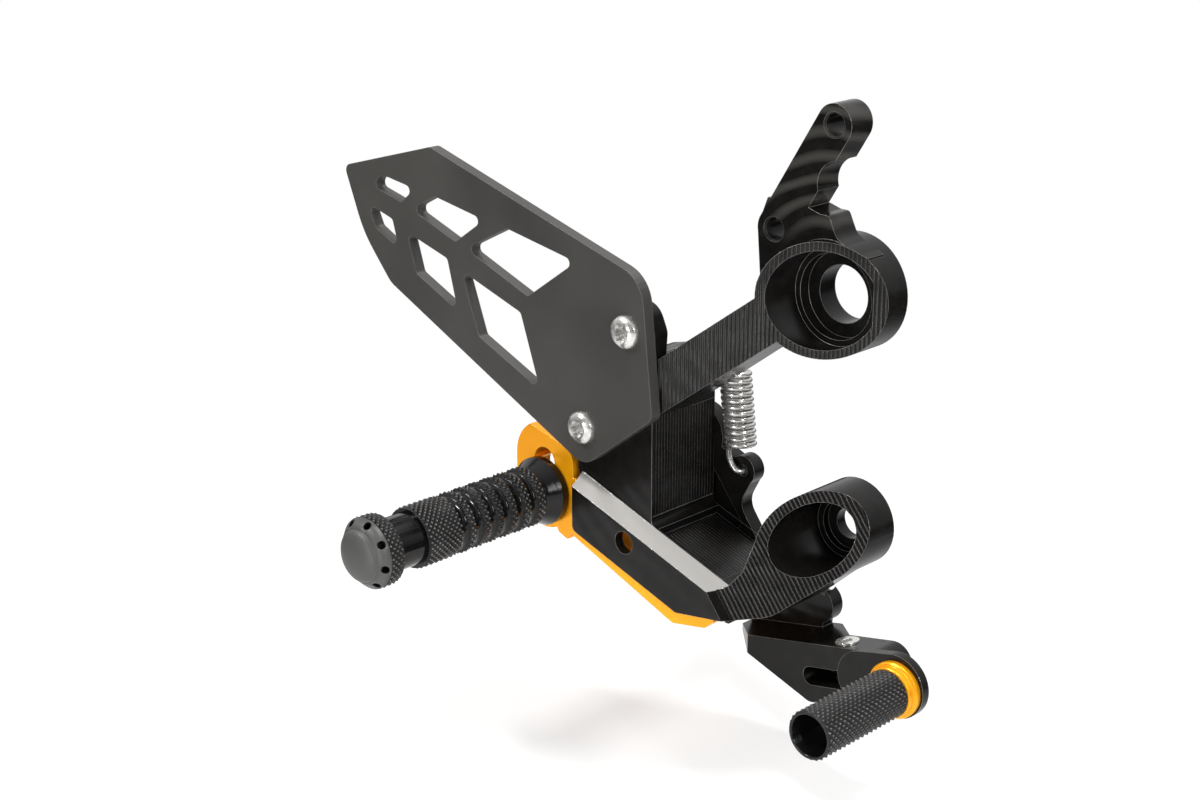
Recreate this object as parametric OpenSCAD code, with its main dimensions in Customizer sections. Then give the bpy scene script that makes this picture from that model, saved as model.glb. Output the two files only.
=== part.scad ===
// Right-hand motorbike rear set: milled bracket, sliding peg adjuster, knurled foot peg,
// slotted heel guard and sprung brake lever with an adjustable toe peg.
// X is forward, Y is inboard towards the bike, Z is up. The origin is the axis of the upper
// frame bore at the face that meets the frame, so everything outboard lies at minus Y.
// Depths called "out" are distances outboard of that face.

/* [Frame mounts] */
// Diameter of the upper boss
upper_boss_d = 36; // [32:0.5:42]
// Diameter of the upper frame bore
upper_bore_d = 18; // [12:0.5:20]
// Diameter of the seat round the upper bore
upper_seat_d = 26.6; // [22:0.2:27.5]
// Diameter of the cup in the upper boss
upper_cup_d = 30.4; // [29:0.2:31.5]
// Forward offset of the lower boss from the upper one
lower_boss_x = 3.2; // [0:0.2:6]
// Drop from the upper bore to the lower bore
lower_boss_drop = 73.7; // [70:0.1:76]
// Diameter of the lower boss
lower_boss_d = 27.8; // [25:0.2:30]
// Diameter of the lower frame bore
lower_bore_d = 10; // [8:0.5:12]
// Diameter of the seat round the lower bore
lower_seat_d = 16.8; // [14:0.2:18]
// Diameter of the cup in the lower boss
lower_cup_d = 21.2; // [19:0.2:22.5]

/* [Bracket body] */
// Depth of the flat pad that carries the heel guard
pad_out = 41.5; // [38:0.5:44]
// Depth of the inboard face of the body
body_back = 12; // [10:0.5:14]
// Slope angle of the outer face of the upper arm
arm_tilt = 26.6; // [22:0.2:30]
// Width of the upper arm
arm_w = 14; // [11:0.5:17]
// Depth of the upper arm from front to back
arm_depth = 14; // [10:0.5:16]
// Angle at which the lower rail falls towards the front
rail_fall = 18.6; // [16:0.2:21]
// Depth of the outer face of the lower rail
rail_out = 46.5; // [45:0.5:49]
// Height of the outer wall of the lower rail, square to the rail
rail_h = 14.2; // [12:0.2:17]
// Height of the bare chamfer above the rail wall, square to the rail
chamfer_h = 3.6; // [2:0.2:5]
// Thickness of the outer wall of the rail channel
rail_wall = 3.5; // [2.5:0.1:4.5]
// Width of the rail channel from wall to wall
channel_w = 19; // [16:0.5:22]
// Spacing of the cutter marks left on the milled faces
mark_pitch = 1.3; // [1:0.1:2.5]

/* [Cylinder arm] */
// Spacing of the two brake cylinder holes
cylinder_hole_gap = 40.5; // [38:0.5:44]
// Diameter of the brake cylinder holes
cylinder_hole_d = 6.8; // [6:0.1:8.4]
// Depth of the outer face of the cylinder arm
cylinder_arm_out = 15; // [13:0.5:17]
// Thickness of the cylinder arm
cylinder_arm_t = 10; // [7:0.5:12]
// Radius of the end of the cylinder arm
cylinder_arm_r = 6.3; // [5.5:0.1:7.5]

/* [Heel guard] */
// Length of the heel guard
guard_l = 144; // [130:1:150]
// Thickness of the heel guard plate
guard_t = 4; // [2:0.5:5]
// Spacing of the two guard screws
guard_screw_gap = 40; // [36:0.5:44]
// Head diameter of the guard screws
button_head_d = 10.5; // [9.5:0.1:12]
// Head height of the guard screws
button_head_h = 3; // [2:0.1:3.6]

/* [Foot peg] */
// Length of the knurled grip
grip_l = 50; // [40:1:60]
// Diameter of the knurled grip
grip_d = 20.4; // [18:0.2:23]
// Diameter of the turned peg body between grip and cap
peg_neck_d = 17; // [14:0.2:17.6]
// Diameter of the flange at the root of the peg
peg_flange_d = 22.8; // [20:0.2:24]
// Diameter of the end cap
peg_cap_d = 23.4; // [20:0.2:26]
// Number of turned grooves in the grip
groove_n = 6; // [3:1:7]
// Pitch of the grooves
groove_pitch = 5.9; // [5.2:0.1:6.5]
// Width of each groove
groove_w = 2.4; // [1.6:0.1:3]

/* [Peg adjuster] */
// Radius of the rounded head of the adjuster
head_r = 13; // [12.5:0.1:14]
// Thickness of the head of the adjuster
head_t = 12; // [9:0.5:16]
// Rise between the two outer peg positions
peg_step = 10; // [8:0.5:11]
// Diameter of the peg bolt
peg_bolt_d = 8; // [8:0.5:9]
// Angle at which the lower edge of the adjuster falls towards the front
bar_fall = 21.5; // [19:0.5:23]
// Chamfer along the lower edge of the adjuster
bar_chamfer = 3; // [1:0.5:4]
// Travel of the adjuster towards the rear
bar_travel = 8; // [4:0.5:10]

/* [Brake lever] */
// Thickness of the lever plate
lever_t = 5; // [4.5:0.5:7]
// Gap between the body and the lever
lever_gap = 0.3; // [0.2:0.05:0.6]
// Radius of the pivot hub of the lever
hub_r = 10; // [9.5:0.1:11]
// Diameter of the pivot bolt shoulder
pivot_d = 8; // [6:0.5:10]
// Depth of the outer face of the toe arm
toe_arm_out = 26; // [24:0.5:28]
// Thickness of the toe arm
toe_arm_t = 11; // [8:0.5:12]
// Length of the slot for the toe peg carrier
slot_l = 30; // [26:1:32]
// Height of that slot
slot_w = 6; // [5:0.2:7]

/* [Toe peg] */
// Thickness of the toe peg carrier
carrier_t = 3; // [2.5:0.5:5]
// Radius of the carrier round the toe peg
carrier_r = 10; // [9.4:0.2:11]
// Length of the knurled toe peg
toe_peg_l = 37; // [30:1:45]
// Diameter of the knurled toe peg
toe_peg_d = 15.6; // [14:0.2:16.8]
// Bore of the toe peg
toe_bore_d = 12.4; // [10:0.2:13]
// Diameter of the collar behind the toe peg
toe_collar_d = 17.6; // [17:0.2:19]

/* [Return spring] */
// Outside diameter of the spring
spring_d = 10.4; // [9:0.2:11]
// Wire diameter of the spring
wire_d = 1.7; // [1.2:0.1:2]
// Number of turns
spring_turns = 12; // [8:1:14]

/* [Hidden] */
$fn = 64;

big = 400;
fit_gap = 0.05;
slide_gap = 0.1;
thread_gap = 0.03;

// Colours of the finishes
black_alu = [0.14, 0.14, 0.14];
gloss_black = [0.06, 0.06, 0.07];
orange_alu = [1, 0.52, 0.02];
steel = [0.78, 0.78, 0.76];
brass = [0.72, 0.56, 0.3];

// Upper arm: its outer face is one sloping plane through the upper boss
upper_r = upper_boss_d / 2;
arm_dir = 39.6;
arm_off = 5;
arm_face_out = 18.5;
bend_x = -(pad_out - arm_face_out) / tan(arm_tilt);
upper_seat_out = 11.5;
upper_floor_out = 7.5;

// Lower boss and its sloping face
lower_r = lower_boss_d / 2;
lower_z = -lower_boss_drop;
lower_tilt = 40.7;
lower_turn = 38;
lower_face_out = 23.1;
lower_seat_out = 6.5;
lower_floor_out = 4;

// Cutter marks: the radius of the tool's corner and the depth of each mark
mark_r = 1.7;
mark_depth = pow(mark_pitch, 2) / (8 * mark_r) + 0.01;

// Lower rail: lines that fall along the rail, given by their height at the rail's rear end
rail_x0 = -76;
rail_top_z = -67;
rail_slope = tan(rail_fall);
square = 1 / cos(rail_fall);
chamfer_out = rail_out - pad_out;
wall_top_z = rail_top_z - chamfer_h * square;
wall_low_z = wall_top_z - rail_h * square;
rail_turn_x = -31;
channel_front = rail_out - rail_wall;
channel_back = channel_front - channel_w;
channel_top_z = wall_top_z + 0.2;
channel_end_x = -15;

// Cylinder arm holes
cyl_top = [0, 52];
cyl_dir = 58.2;
hole_sink = 0.5;
cyl_low = [cyl_top.x - cylinder_hole_gap * cos(cyl_dir), cyl_top.y - cylinder_hole_gap * sin(cyl_dir)];

// Guard screws: the upper one and the direction to the lower one
guard_top_screw = [-53.4, -14.6];
guard_screw_dir = 62.2;
guard_low_screw = [guard_top_screw.x - guard_screw_gap * cos(guard_screw_dir),
    guard_top_screw.y - guard_screw_gap * sin(guard_screw_dir)];
guard_screw_d = 6;
guard_screw_l = 10;
lug_t = 6;
lug_round = 8.2;

// Peg axis and the layout along it, as depths out from the frame face
peg_x = -92;
peg_z = -77;
head_out = channel_front - slide_gap;
head_back = head_out - head_t;
flange_out = rail_out - 0.8;
cone_out = flange_out + 4;
grip_in = rail_out + 5.4;
grip_out = grip_in + grip_l;
cap_in = grip_out + 11;
cap_out = cap_in + 5.5;
cap_chamfer = 3;
cap_face_r = peg_cap_d / 2 - cap_chamfer;
dome_h = 3;
cap_holes = 8;
cap_hole_d = 2.6;
peg_head_r = head_r;

// Adjuster bar
clamp_x = -53.1;
clamp_z = -83.8;
clamp_d = 6;
clamp_access_d = 7.5;
clamp_head_d = 8.5;
clamp_head_h = 5;
clamp_head_out = 37;
bar_end_x = -18.5;
bar_low_z = -90.2;
bar_rear_x = -85.7;
head_top = [[-97.1, -56.3], [-82.7, -60]];

// Lever pivot, lever layout and toe arm
pivot_x = -52.5;
pivot_z = -55.5;
lever_out = body_back - lever_gap;
lever_back = lever_out - lever_t;
bush_wall = 1.5;
recess_t = 1.5;
ear = [-34, -63.8];
ear_r = 4.8;
ear_hole_d = 3.8;
rod_end = [-82, -48];
rod_hole_d = 6;
lug = [-2.5, -100.3];
lug_r = 6.2;
toe_arm_back = toe_arm_out - toe_arm_t;
toe_arm_rise = 11.3;
slot_start = [7, -116.9];
slot_span = slot_l - slot_w;
carrier_screw_x = slot_start.x + slot_span * cos(toe_arm_rise);
carrier_screw_z = slot_start.y + slot_span * sin(toe_arm_rise);
carrier_screw_d = 5;
toe_x = 41;
toe_z = -108.5;
carrier_out = toe_arm_out + carrier_t;
collar_out = toe_arm_out + 7.2;
toe_peg_out = collar_out + toe_peg_l;
toe_screw_d = 6;

// Stop screw in the lug, under the lower boss
stop_x = -4.5;
stop_gap = 0.3;
stop_d = 3;
stop_y = -lever_out + 2.8;
nut_base = lug.y + 3.8;
nut_d = 6.2;
stop_top = lower_z - sqrt(pow(lower_r, 2) - pow(stop_x + stop_d / 2 - lower_boss_x, 2)) - stop_gap;

// Spring ends
spring_y = -lever_out + 0.5;
pin_x = -39;
pin_z = -24;
pin_d = 4;
pin_front = 30;
pin_hook_r = (pin_d + wire_d) / 2 + 0.12;
coil_low = [-35.4, spring_y, -56.2];
coil_high = [-38.4, spring_y, -31.5];

// Corner of an outline replaced by an arc that touches both sides
function unit2(v) = v / norm(v);
function corner(a, b, c, r, n) = let(
    u = unit2(a - b), w = unit2(c - b),
    half = acos(max(-1, min(1, u * w))) / 2,
    back = min(r / tan(half), norm(a - b) * 0.499, norm(c - b) * 0.499),
    rr = back * tan(half),
    mid = b + unit2(u + w) * (rr / sin(half)),
    p = b + u * back, q = b + w * back,
    a0 = atan2(p.y - mid.y, p.x - mid.x),
    a1 = atan2(q.y - mid.y, q.x - mid.x),
    turn = a1 - a0 > 180 ? a1 - a0 - 360 : (a1 - a0 < -180 ? a1 - a0 + 360 : a1 - a0))
    [for (i = [0:n]) mid + rr * [cos(a0 + turn * i / n), sin(a0 + turn * i / n)]];

// Outline from points of x, z and corner radius
function smooth(pts, n = 8) = [for (i = [0:len(pts) - 1]) let(
    m = len(pts), b = pts[i], a = pts[(i + m - 1) % m], c = pts[(i + 1) % m])
    each (b[2] > 0 ? corner([a.x, a.y], [b.x, b.y], [c.x, c.y], b[2], n) : [[b.x, b.y]])];

// Height of a line along the rail that starts at height z0 at the rear end of the rail
function along_rail(x, z0) = z0 - (x - rail_x0) * rail_slope;

// Height of the lower edge of the adjuster
function bar_edge(x) = bar_low_z - (x - bar_rear_x) * tan(bar_fall);

// Solid of a side outline between two depths
module plate(out, back) {
    translate([0, -back, 0]) rotate([90, 0, 0]) linear_extrude(out - back) children();
}

// Round solid or cutter along Y between two depths
module rod(x, z, d, out, back) {
    translate([x, -back, z]) rotate([90, 0, 0]) cylinder(d = d, h = out - back);
}

// Turned piece: its profile is given as radius and depth out
module turned(x, z, profile) {
    translate([x, 0, z]) rotate([90, 0, 0]) rotate_extrude() polygon(profile);
}

// Space outboard of a sloping plane
module outboard(x, out, z, tilt, turn) {
    translate([x, -out, z]) rotate([0, -turn, 0]) rotate([0, 0, tilt])
        translate([-big / 2, -big, -big / 2]) cube(big);
}

// Round cutter marks side by side along Z over a face that looks outboard. They run from one
// place to another across the face, over a height z0 to z1
module marks(from, to, z0, z1) {
    for (i = [0:floor((to - from) / mark_pitch)])
        translate([from + i * mark_pitch, -mark_r + mark_depth, z0])
            cylinder(r = mark_r, h = z1 - z0, $fn = 48);
}

// Solid of a plan outline over the whole height
module plan(pts) {
    translate([0, 0, -big / 2]) linear_extrude(big) polygon(pts);
}

module block_outline() {
    polygon(smooth([
        [-78, along_rail(-78, rail_top_z), 0], [-78, -60, 0], [-80, -53, 5], [-66, -28, 6],
        [bend_x, -23, 8], [bend_x, along_rail(bend_x, rail_top_z), 2],
        [-13.5, along_rail(-13.5, rail_top_z), 0],
        [-13.5, along_rail(-13.5, wall_low_z) + 6, 0], [rail_turn_x, along_rail(rail_turn_x, wall_low_z), 3],
        [rail_x0, along_rail(rail_x0, wall_low_z), 2.5], [rail_x0, along_rail(rail_x0, wall_top_z), 0]]));
}

// Thin lug behind the heel guard, round its upper screw
module lug_outline() {
    polygon(smooth([
        [-80, -53, 5], [-63, -10, 8], [-58, -6.6, 4], [-49, -6.6, 7], [guard_top_screw.x + lug_round, -15, 5],
        [bend_x, -26, 0], [bend_x, -50, 0]]));
}

module upper_arm_outline() {
    translate([0, arm_off]) rotate(arm_dir) translate([-70, -arm_w / 2]) square([70, arm_w]);
    circle(d = upper_boss_d);
}

module lower_arm_outline() {
    polygon(smooth([
        [-17.6, along_rail(-17.6, wall_top_z), 0], [-13.5, along_rail(-13.5, rail_top_z), 0],
        [-11.2, -84, 4], [lower_boss_x - lower_r * 0.99, lower_z, 0], [lower_boss_x, lower_z, 0],
        [lower_boss_x + 9.5, lower_z - 10.2, 0], [-0.6, -96, 8], [-12, -98, 0]]));
    translate([lower_boss_x, lower_z]) circle(d = lower_boss_d);
}

module cylinder_arm_outline() {
    hull() {
        translate(cyl_top) circle(r = cylinder_arm_r);
        translate(cyl_low) circle(r = cylinder_arm_r);
    }
    polygon(smooth([
        [cyl_low.x - cylinder_arm_r, cyl_low.y, 0], [-24, 27, 0], [-11, 27, 0], [-4, 25, 0], [-0.8, 25, 1.5],
        [2.2, 18.8, 4], [12, 14, 0], [14, 4, 0], [-20, -4, 0], [cyl_low.x - cylinder_arm_r + 1.5, 1, 0]]));
}

module cylinder_arm() {
    difference() {
        plate(cylinder_arm_out, cylinder_arm_out - cylinder_arm_t) cylinder_arm_outline();
        rod(2, 34, 15, cylinder_arm_out + 1, -1);
        rod(cyl_top.x, cyl_top.y, cylinder_hole_d, cylinder_arm_out + 1, -1);
        rod(cyl_low.x, cyl_low.y, cylinder_hole_d, cylinder_arm_out + 1, -1);
        for (c = [cyl_top, cyl_low]) turned(c.x, c.y, [[0, cylinder_arm_out + 1],
            [cylinder_hole_d / 2 + hole_sink + 1, cylinder_arm_out + 1],
            [cylinder_hole_d / 2, cylinder_arm_out - hole_sink], [0, cylinder_arm_out - hole_sink]]);
    }
}

module rail_front() {
    difference() {
        plate(rail_out, pad_out - 0.01) polygon(smooth([
            [rail_x0, along_rail(rail_x0, rail_top_z), 0], [-13.5, along_rail(-13.5, rail_top_z), 0],
            [-12, -98, 0], [rail_turn_x, along_rail(rail_turn_x, wall_low_z), 3],
            [rail_x0, along_rail(rail_x0, wall_low_z), 2.5]]));
        translate([rail_x0, -pad_out, rail_top_z]) rotate([0, rail_fall, 0])
            rotate([90 - atan2(chamfer_out, chamfer_h), 0, 0])
                translate([-big / 2, -big / 2, 0]) cube(big);
    }
}

// Marks down the wall of the body that faces the front
module wall_marks() {
    translate([bend_x, 0, 0]) rotate([0, 0, 90])
        marks(-pad_out + mark_pitch, -body_back, along_rail(bend_x, rail_top_z) + 2.4, -42);
}

// Marks along the top of the rail
module shelf_marks() {
    start = (bend_x + 2.6 - rail_x0) * square;
    translate([rail_x0, 0, rail_top_z]) rotate([0, rail_fall, 0]) rotate([0, 90, 0]) rotate([0, 0, 90])
        marks(-pad_out + mark_pitch, -body_back, start, (-16.5 - rail_x0) * square);
}

module main_bracket() {
    color(black_alu) difference() {
        union() {
            difference() {
                union() {
                    plate(pad_out, pad_out - lug_t) lug_outline();
                    cylinder_arm();
                    intersection() {
                        plate(pad_out, 0) upper_arm_outline();
                        plan([[bend_x - 8, -pad_out], [upper_r + 2, -pad_out], [upper_r + 2, 0],
                            [-upper_r - 0.5, 0], [-upper_r - 0.5, -arm_depth + 1],
                            [bend_x - 8, -pad_out + arm_depth]]);
                    }
                }
                outboard(0, arm_face_out, 0, arm_tilt, 0);
                translate([0, -arm_face_out, 0]) rotate([0, 0, arm_tilt])
                    marks(bend_x / cos(arm_tilt) + mark_pitch, upper_r / cos(arm_tilt), -48, upper_r);
            }
            difference() {
                union() {
                    plate(pad_out, body_back) block_outline();
                    plate(rail_out, body_back) lower_arm_outline();
                    rod(lower_boss_x, lower_z, lower_boss_d, rail_out, 0);
                    rail_front();
                }
                outboard(lower_boss_x, lower_face_out, lower_z, lower_tilt, lower_turn);
                translate([lower_boss_x, -lower_face_out, lower_z]) rotate([0, -lower_turn, 0])
                    rotate([0, 0, lower_tilt]) marks(-lower_face_out * 1.4, lower_r * 1.3, -30, 24);
            }
        }
        rod(0, 0, upper_cup_d, rail_out, upper_seat_out);
        rod(0, 0, upper_seat_d, rail_out, upper_floor_out);
        rod(0, 0, upper_bore_d, rail_out, -1);
        rod(lower_boss_x, lower_z, lower_cup_d, rail_out, lower_seat_out);
        rod(lower_boss_x, lower_z, lower_seat_d, rail_out, lower_floor_out);
        rod(lower_boss_x, lower_z, lower_bore_d, rail_out, -1);
        wall_marks();
        shelf_marks();
        plate(channel_front, channel_back) polygon([
            [rail_x0 - 8, along_rail(rail_x0 - 8, channel_top_z)],
            [channel_end_x, along_rail(channel_end_x, channel_top_z)],
            [channel_end_x, -130], [rail_x0 - 8, -130]]);
        rod(clamp_x, clamp_z, clamp_access_d, rail_out + 1, channel_front - 1);
        rod(clamp_x, clamp_z, clamp_d + 2 * thread_gap, channel_back + 1, body_back - 1);
        rod(guard_top_screw.x, guard_top_screw.y, guard_screw_d + 2 * thread_gap,
            pad_out + 1, pad_out + guard_t - guard_screw_l - 1);
        rod(guard_low_screw.x, guard_low_screw.y, guard_screw_d + 2 * thread_gap,
            pad_out + 1, pad_out + guard_t - guard_screw_l - 1);
        rod(pivot_x, pivot_z, clamp_d + 2 * thread_gap, body_back + 15, body_back - 1);
        rod(pin_x, pin_z, pin_d + 2 * thread_gap, pin_front, body_back - 1);
    }
}

module guard_slot(pts) {
    polygon(smooth([for (p = pts) [p.x, p.y, 1.8]], 5));
}

// Sizes the guard's outline from its upper screw
module guard_scaled() {
    translate(guard_top_screw) scale(guard_l / 144) translate(-guard_top_screw) children();
}

module heel_guard() {
    color(black_alu) difference() {
        plate(pad_out + guard_t, pad_out) guard_scaled() difference() {
            polygon(smooth([
                [-186.1, 17.5, 2.5], [-141.7, 30, 4], [-47.1, 2.9, 12], [-42.4, -40.8, 4],
                [-71.5, -63, 8], [-163.5, -19.8, 10], [-177, -4.5, 40]]));
            guard_slot([[-166.8, 17.2], [-149.8, 14.8], [-156.8, 9.2], [-171.2, 12.6]]);
            guard_slot([[-174.2, 6], [-161.6, 2.6], [-158.8, -7.2], [-170.6, -1.6]]);
            guard_slot([[-151.6, 7.6], [-139.8, 13.8], [-116.2, 9.8], [-130.2, 0.2]]);
            guard_slot([[-154.4, -0.6], [-134.4, -6.2], [-129.8, -23.2], [-150, -14.2]]);
            guard_slot([[-125.2, -1.2], [-105.6, 8.8], [-74.8, 3.4], [-96.4, -11.8]]);
            guard_slot([[-127.6, -9], [-99.8, -17.8], [-91.2, -42], [-119.6, -30]]);
        }
        for (s = [guard_top_screw, guard_low_screw])
            rod(s.x, s.y, guard_screw_d + 2 * fit_gap, pad_out + guard_t + 1, pad_out - 1);
    }
}

// Button screw with a socket, its head seated at depth "seat"
module button_screw(x, z, d, head_d, head_h, l, seat, socket) {
    difference() {
        union() {
            turned(x, z, concat([[0, seat - l], [d / 2 - 0.4, seat - l], [d / 2, seat - l + 0.4],
                [d / 2, seat], [head_d / 2, seat], [head_d / 2, seat + head_h * 0.3]],
                [for (a = [15:15:90]) [head_d / 2 * cos(a) * (1 - 0.3 * sin(a)) + head_d * 0.15 * sin(a),
                    seat + head_h * (0.3 + 0.7 * sin(a))]],
                [[0, seat + head_h]]));
        }
        plate(seat + head_h + 1, seat + head_h * 0.25) translate([x, z])
            polygon([for (a = [0:7.5:352.5]) socket / 2 * (1 + 0.14 * cos(6 * a)) * [cos(a), sin(a)]]);
    }
}

module guard_screws() {
    color(steel) for (s = [guard_top_screw, guard_low_screw])
        button_screw(s.x, s.y, guard_screw_d, button_head_d, button_head_h, guard_screw_l,
            pad_out + guard_t, 5);
}

module peg_positions() {
    for (p = [[0, 0], [-peg_step / 2, peg_step / 2], [0, peg_step]])
        translate([peg_x + p.x, -head_out - 1, peg_z + p.y]) rotate([-90, 0, 0])
            cylinder(d = peg_bolt_d + 1.2, h = head_t + 2);
}

// Side outline of the adjuster's head: three peg places in one rounded end, flat on top
module head_outline() {
    rise = (head_top[1] - head_top[0]) / norm(head_top[1] - head_top[0]);
    difference() {
        union() {
            translate([peg_x, peg_z]) circle(r = peg_head_r);
            translate([peg_x, peg_z + peg_step]) circle(r = peg_head_r);
            translate([peg_x - peg_head_r, peg_z]) square([2 * peg_head_r, peg_step]);
            polygon([[peg_x, peg_z], [peg_x + peg_head_r, peg_z + peg_step],
                [peg_x + peg_head_r, along_rail(peg_x + peg_head_r, channel_top_z - slide_gap)],
                [-70, along_rail(-70, channel_top_z - slide_gap)], [-70, bar_edge(-70)],
                [bar_rear_x, bar_edge(bar_rear_x)]]);
        }
        translate(head_top[0]) rotate(atan2(rise.y, rise.x)) translate([-30, 0]) square([60, 30]);
    }
}

module adjuster_bar() {
    color(orange_alu) difference() {
        union() {
            plate(head_out, head_back) head_outline();
            plate(head_out, channel_back + slide_gap) polygon([
                [bar_rear_x + 3, along_rail(bar_rear_x + 3, channel_top_z - slide_gap)],
                [bar_end_x, along_rail(bar_end_x, channel_top_z - slide_gap)],
                [bar_end_x, -101.5], [-22, -104.5], [-40.7, bar_edge(-40.7)],
                [bar_rear_x + 3, bar_edge(bar_rear_x + 3)]]);
        }
        translate([bar_rear_x + 4, -head_out, bar_edge(bar_rear_x + 4)]) rotate([0, bar_fall, 0])
            rotate([45, 0, 0]) translate([0, -bar_chamfer * sqrt(0.5), -bar_chamfer * sqrt(0.5)])
                cube([90, bar_chamfer * sqrt(2), bar_chamfer * sqrt(2)]);
        peg_positions();
        clamp_slot(clamp_head_d + 0.6, head_out + 1, clamp_head_out - clamp_head_h);
        clamp_slot(clamp_d + 0.6, head_out + 1, channel_back - 1);
    }
}

// Slot along the rail, as long as the travel of the bar
module clamp_slot(d, out, back) {
    plate(out, back) translate([clamp_x, clamp_z]) rotate(-rail_fall) {
        translate([0, -d / 2]) square([bar_travel, d]);
        circle(d = d);
        translate([bar_travel, 0]) circle(d = d);
    }
}

module adjuster_bolt() {
    color(steel) difference() {
        turned(clamp_x, clamp_z, [[0, body_back + 2], [clamp_d / 2 - 0.5, body_back + 2],
            [clamp_d / 2, body_back + 2.5], [clamp_d / 2, clamp_head_out - clamp_head_h],
            [clamp_head_d / 2, clamp_head_out - clamp_head_h], [clamp_head_d / 2, clamp_head_out - 0.4],
            [clamp_head_d / 2 - 0.4, clamp_head_out], [0, clamp_head_out]]);
        translate([clamp_x, -clamp_head_out - 1, clamp_z]) rotate([-90, 0, 0])
            cylinder(d = 4.6, h = 4, $fn = 6);
    }
}

module peg_body() {
    flange_r = peg_flange_d / 2;
    neck_r = peg_neck_d / 2;
    color(gloss_black) difference() {
        turned(peg_x, peg_z, [[0, head_out], [flange_r - 0.6, head_out], [flange_r, head_out + 0.6],
            [flange_r, flange_out], [neck_r + 0.6, cone_out], [neck_r, cone_out + 0.8],
            [neck_r, grip_in - 0.1], [grip_d / 2 - 3.4, grip_in - 0.1], [grip_d / 2 - 3.4, grip_out + 0.1], [neck_r, grip_out + 0.1],
            [neck_r, cap_in - 0.1], [6, cap_in - 0.1], [6, cap_in + 3], [0, cap_in + 3]]);
        rod(peg_x, peg_z, peg_bolt_d + 2 * thread_gap, head_out + 22, head_out - 1);
    }
}

module peg_grip() {
    r = grip_d / 2;
    root = r - 1.3;
    first = grip_in + 5;
    color(black_alu) difference() {
        turned(peg_x, peg_z, concat(
            [[r - 3.3, grip_in], [r - 0.8, grip_in], [r, grip_in + 0.8]],
            [for (i = [0:groove_n - 1], p = [[r, -groove_w / 2 - 0.5], [root, -groove_w / 2],
                [root, groove_w / 2], [r, groove_w / 2 + 0.5]])
                [p.x, first + i * groove_pitch + p.y]],
            [[r, grip_out - 0.8], [r - 0.8, grip_out], [r - 3.3, grip_out]]));
    }
}

module peg_end_cap() {
    r = peg_cap_d / 2;
    ring_r = (r + cap_face_r) / 2;
    color(black_alu) difference() {
        turned(peg_x, peg_z, concat(
            [[0, cap_in + 3.1], [6.1, cap_in + 3.1], [6.1, cap_in], [r - 0.8, cap_in], [r, cap_in + 0.8],
            [r, cap_out], [cap_face_r, cap_out + cap_chamfer], [cap_face_r - 0.3, cap_out + cap_chamfer]],
            [for (a = [10:10:80]) [(cap_face_r - 0.3) * cos(a), cap_out + cap_chamfer + dome_h * sin(a)]],
            [[0, cap_out + cap_chamfer + dome_h]]));
        for (i = [0:cap_holes - 1]) translate([peg_x, -cap_out - cap_chamfer / 2, peg_z])
            rotate([0, i * 360 / cap_holes + 12, 0]) translate([ring_r, 0, 0]) rotate([0, 0, -45])
                translate([-4, 0, 0]) rotate([0, 90, 0]) cylinder(d = cap_hole_d, h = 8);
    }
}

module peg_bolt() {
    seat = head_back - 1.5;
    color(steel) difference() {
        turned(peg_x, peg_z, [[0, seat - 6], [6, seat - 6], [6.5, seat - 5.5], [6.5, seat],
            [peg_bolt_d / 2, seat], [peg_bolt_d / 2, head_out + 18], [peg_bolt_d / 2 - 0.6, head_out + 18.6],
            [0, head_out + 18.6]]);
        translate([peg_x, -seat + 3, peg_z]) rotate([-90, 0, 0]) cylinder(d = 6.9, h = 4, $fn = 6);
    }
}

module peg_washer() {
    color(steel) difference() {
        rod(peg_x, peg_z, 16, head_back, head_back - 1.5);
        rod(peg_x, peg_z, peg_bolt_d + 2 * fit_gap, head_back + 1, head_back - 3);
    }
}

module lever_plate_outline() {
    translate([pivot_x, pivot_z]) circle(r = hub_r);
    translate(ear) circle(r = ear_r);
    translate(lug) circle(r = lug_r);
    polygon(smooth([
        [pivot_x + 4, pivot_z + 8.6, 0], [pivot_x + 9.6, pivot_z - 2.6, 0], [ear.x - 3.2, ear.y + 3.5, 0],
        [ear.x + 1, ear.y + 4.6, 0], [ear.x + 4.7, ear.y - 0.8, 0], [-35, -75.4, 6], [-28, -84.9, 0],
        [-12, -91, 0], [lug.x - 5, lug.y + 3.6, 0], [lug.x + 0.5, lug.y + 6.2, 0], [lug.x + 6.1, lug.y, 0],
        [lug.x + 2.5, lug.y - 5.7, 4], [0, -110, 0], [-28, -114, 0], [-36, -104, 6], [-58, -66, 6],
        [pivot_x - 8, pivot_z - 6, 0]]));
    polygon([[pivot_x - 3, pivot_z + 9.4], [rod_end.x + 1, rod_end.y + 6], [rod_end.x - 2, rod_end.y - 5.8],
        [pivot_x - 3, pivot_z - 9.4]]);
    translate(rod_end) circle(r = 6.2);
}

module toe_arm_outline() {
    polygon(smooth([
        [-28, -113.2, 0], [33.5, -100.6, 8], [38, -108, 6], [33, -116.5, 6], [7, -126, 5], [-20, -117, 0],
        [-28, -115.5, 0]]));
}

module slot_cut(w, out, back) {
    plate(out, back) translate(slot_start) rotate(toe_arm_rise) {
        translate([0, -w / 2]) square([slot_span, w]);
        circle(d = w);
        translate([slot_span, 0]) circle(d = w);
    }
}

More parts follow.
